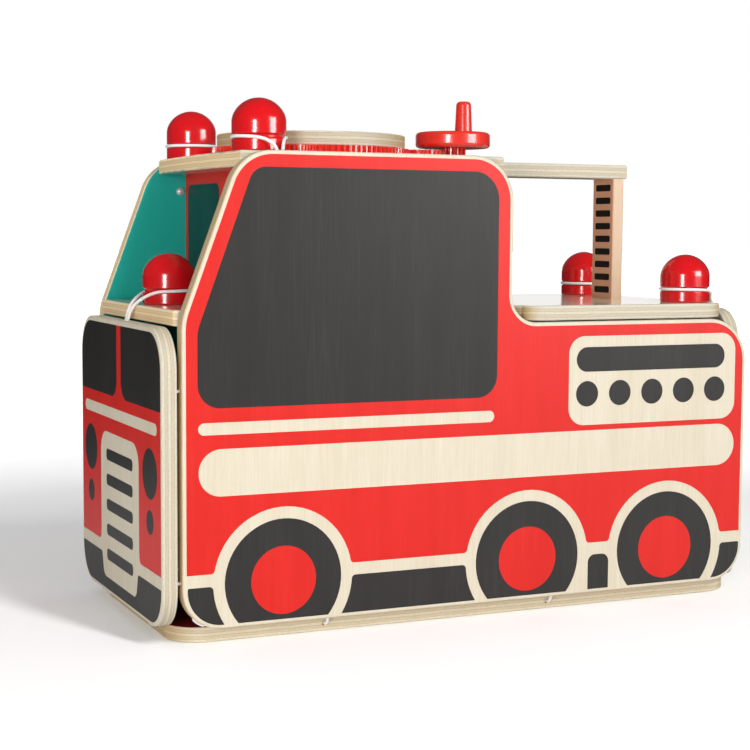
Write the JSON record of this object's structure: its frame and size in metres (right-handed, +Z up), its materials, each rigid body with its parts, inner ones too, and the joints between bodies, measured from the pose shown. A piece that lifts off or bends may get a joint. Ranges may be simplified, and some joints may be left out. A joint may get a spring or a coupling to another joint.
{
  "type": "toy fire station",
  "caption": "Wooden toy fire truck that unfolds into a three-storey fire station, with folding sides and a crank that turns a helipad.",
  "frame": {"origin": "on the table, under the middle of the whole toy", "axes": "+X along the truck from its front to its rear, +Y across it to the far side, +Z up"},
  "size_m": [0.4782, 0.213, 0.38],
  "materials": {
    "plywood": "satin",
    "red_wood": "gloss",
    "elastic": "matte",
    "steel": "satin"
  },
  "bodies": {
    "frame": {"base_board": "plywood", "cab_wall_front": "plywood", "cab_wall_rear": "plywood", "crank_axle": "steel", "deck": "plywood", "far_hinge_cords": "elastic", "first_floor": "plywood", "first_wall_front": "plywood", "first_wall_middle": "plywood", "first_wall_rear": "plywood", "front_hinge_cords": "elastic", "front_knob": "red_wood", "ground_wall_front": "plywood", "ground_wall_middle": "plywood", "ground_wall_rear": "plywood", "helipad_axle": "steel", "idler_axle": "steel", "ladder_post": "plywood", "near_hinge_cords": "elastic", "rear_hinge_cords": "elastic", "rear_knob_far": "red_wood", "rear_knob_near": "red_wood", "roof": "plywood", "roof_knob_far": "red_wood", "roof_knob_near": "red_wood"},
    "near_panel": {"near_panel": "plywood", "near_loop": "elastic", "near_cord_ends": "elastic", "near_button": "steel"},
    "far_panel": {"far_panel": "plywood", "far_loop": "elastic", "far_cord_ends": "elastic", "far_button": "steel"},
    "front_panel": {"front_panel": "plywood", "front_loop": "elastic"},
    "rear_panel": {"rear_panel": "plywood", "rear_loop_near": "elastic", "rear_loop_far": "elastic"},
    "helipad": {"helipad_disc": "plywood", "helipad_gear": "red_wood"},
    "idler": {"idler_gear": "red_wood"},
    "crank": {"crank_disc": "red_wood", "crank_pinion": "red_wood", "crank_peg": "red_wood"}
  },
  "joints": [
    {"name": "near_panel_fold", "type": "hinge", "parent": "frame", "child": "near_panel", "pos_m": [0, -0.0955, 0.0112], "axis": [1, 0, 0], "range_deg": [0, 90], "stiffness_Nm_per_rad": 0.5, "springref_deg": -11.46, "deforming": ["near_loop"]},
    {"name": "far_panel_fold", "type": "hinge", "parent": "frame", "child": "far_panel", "pos_m": [0, 0.0955, 0.0112], "axis": [-1, 0, 0], "range_deg": [0, 90], "stiffness_Nm_per_rad": 0.5, "springref_deg": -11.46, "deforming": ["far_loop"]},
    {"name": "front_panel_fold", "type": "hinge", "parent": "frame", "child": "front_panel", "pos_m": [-0.22807, 0, 0.0112], "axis": [0, -1, 0], "range_deg": [0, 90], "stiffness_Nm_per_rad": 0.15, "springref_deg": -17.19, "deforming": ["front_loop"]},
    {"name": "rear_panel_fold", "type": "hinge", "parent": "frame", "child": "rear_panel", "pos_m": [0.23243, 0, 0.0112], "axis": [0, 1, 0], "range_deg": [0, 93], "stiffness_Nm_per_rad": 0.15, "springref_deg": -17.19, "deforming": ["rear_loop_near", "rear_loop_far"]},
    {"name": "helipad_spin", "type": "hinge", "parent": "frame", "child": "helipad", "pos_m": [-0.09037, 0, 0.3354], "axis": [0, 0, 1], "continuous": true},
    {"name": "idler_spin", "type": "hinge", "parent": "frame", "child": "idler", "pos_m": [0.00062, 0, 0.3354], "axis": [0, 0, 1], "continuous": true},
    {"name": "crank_spin", "type": "hinge", "parent": "frame", "child": "crank", "pos_m": [0.02792, 0, 0.3354], "axis": [0, 0, 1], "continuous": true}
  ],
  "couplings": [
    {"joint": "idler_spin", "follows": "helipad_spin", "ratio": -4},
    {"joint": "crank_spin", "follows": "helipad_spin", "ratio": 8}
  ]
}
